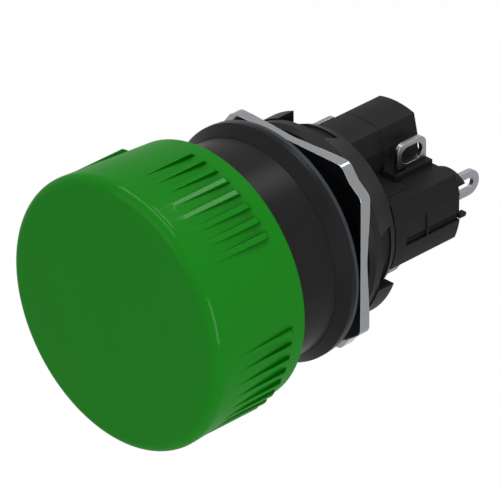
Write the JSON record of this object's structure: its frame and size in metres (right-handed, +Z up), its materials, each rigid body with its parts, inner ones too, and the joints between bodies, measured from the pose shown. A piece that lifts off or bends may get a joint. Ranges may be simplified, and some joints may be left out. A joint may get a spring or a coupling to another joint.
{
  "type": "mushroom push button",
  "caption": "Round mushroom-head push button with ribbed green cap, threaded barrel, clamp plate and nut, and a switch element with solder blades.",
  "frame": {"origin": "on the button's axis, in the rear face of the flange seal, which is the face the button seats with", "axes": "+Y along the button's axis from the cap to the terminals, which is the direction of the press; +Z up; +X to the right seen from the cap"},
  "size_m": [0.0292, 0.0457, 0.0292],
  "materials": {
    "cap_green": "glossy moulded green",
    "carrier_plastic": "matt moulded",
    "black_plastic": "satin moulded black",
    "nut_plastic": "satin moulded black",
    "element_plastic": "satin moulded black",
    "slider_plastic": "matt moulded",
    "rubber": "matt",
    "seal_rubber": "matt blue-grey",
    "plated_steel": "bright plated",
    "terminal_metal": "silver plated",
    "contact_metal": "bright",
    "spring_steel": "drawn wire"
  },
  "bodies": {
    "housing": {"front_housing": "black_plastic", "flange_seal": "seal_rubber", "stem_seal": "rubber", "clamp_plate": "plated_steel", "nut_washer": "nut_plastic", "fixing_nut": "nut_plastic", "element_front_housing": "element_plastic", "element_rear_housing": "element_plastic", "terminal_no_right": "terminal_metal", "terminal_no_left": "terminal_metal", "terminal_nc_left": "terminal_metal", "terminal_nc_right": "terminal_metal", "terminal_common_right": "terminal_metal", "terminal_common_left": "terminal_metal", "return_spring": "spring_steel", "slider_spring": "spring_steel"},
    "button": {"mushroom_cap": "cap_green", "cap_carrier": "carrier_plastic", "plunger": "black_plastic", "plunger_clip": "spring_steel"},
    "slider": {"contact_slider": "slider_plastic", "contact_bridge_right": "contact_metal", "contact_bridge_left": "contact_metal"}
  },
  "joints": [
    {"name": "button_press", "type": "slide", "parent": "housing", "child": "button", "axis": [0, 1, 0], "range_m": [0, 0.003], "stiffness_N_per_m": 800, "springref_m": -0.002, "deforming": ["return_spring"]},
    {"name": "slider_travel", "type": "slide", "parent": "housing", "child": "slider", "axis": [0, 1, 0], "range_m": [0, 0.003], "stiffness_N_per_m": 300, "springref_m": -0.002, "deforming": ["slider_spring"]}
  ],
  "couplings": [
    {"joint": "slider_travel", "follows": "button_press", "ratio": 1}
  ]
}
